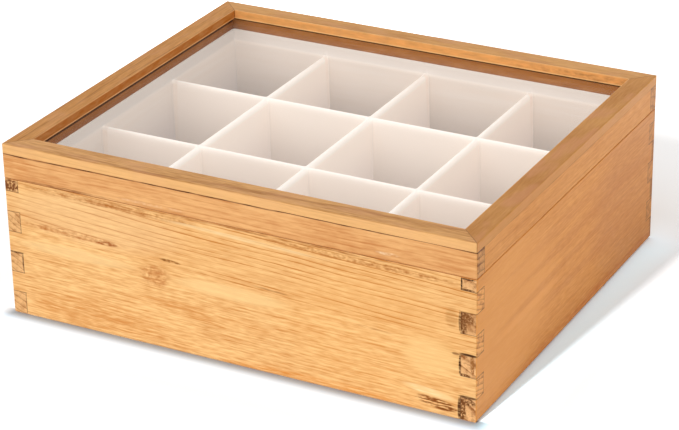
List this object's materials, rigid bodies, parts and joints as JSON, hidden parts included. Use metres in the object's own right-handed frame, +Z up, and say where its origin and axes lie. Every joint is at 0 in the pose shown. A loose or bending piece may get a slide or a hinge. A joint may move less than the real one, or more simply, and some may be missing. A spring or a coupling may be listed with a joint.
{
  "type": "tea bag organizer box",
  "caption": "Finger-jointed wooden box with a hinged, glazed lid and a one-piece moulded tray of cells for tea bags.",
  "frame": {"origin": "centre of the box's bottom outline, on the surface it stands on; the hinge barrels stand out behind the back, so the bounding box's own centre is about 2 mm further back", "axes": "+X to the right along the long front, +Y to the back where the hinges are, +Z up"},
  "size_m": [0.32, 0.2789, 0.1162],
  "materials": {
    "front_wood": "lacquered",
    "side_wood": "lacquered",
    "frame_wood": "lacquered",
    "panel_wood": "sanded",
    "tray_plastic": "satin",
    "clear_pane": "polished",
    "hinge_brass": "polished"
  },
  "bodies": {
    "base": {"front_board": "front_wood", "back_board": "front_wood", "left_board": "side_wood", "right_board": "side_wood", "bottom_panel": "panel_wood", "divider_tray": "tray_plastic", "left_hinge_body_leaf": "hinge_brass", "right_hinge_body_leaf": "hinge_brass", "left_hinge_pin": "hinge_brass", "right_hinge_pin": "hinge_brass", "body_hinge_screws": "hinge_brass"},
    "lid": {"lid_front_rail": "front_wood", "lid_back_rail": "front_wood", "lid_left_rail": "side_wood", "lid_right_rail": "side_wood", "top_frame_front": "frame_wood", "top_frame_back": "frame_wood", "top_frame_left": "frame_wood", "top_frame_right": "frame_wood", "window_pane": "clear_pane", "left_hinge_lid_leaf": "hinge_brass", "right_hinge_lid_leaf": "hinge_brass", "lid_hinge_screws": "hinge_brass"}
  },
  "joints": [
    {"name": "lid_hinge", "type": "hinge", "parent": "base", "child": "lid", "pos_m": [0, 0.1395, 0.0932], "axis": [-1, 0, 0], "range_deg": [0, 100]}
  ]
}
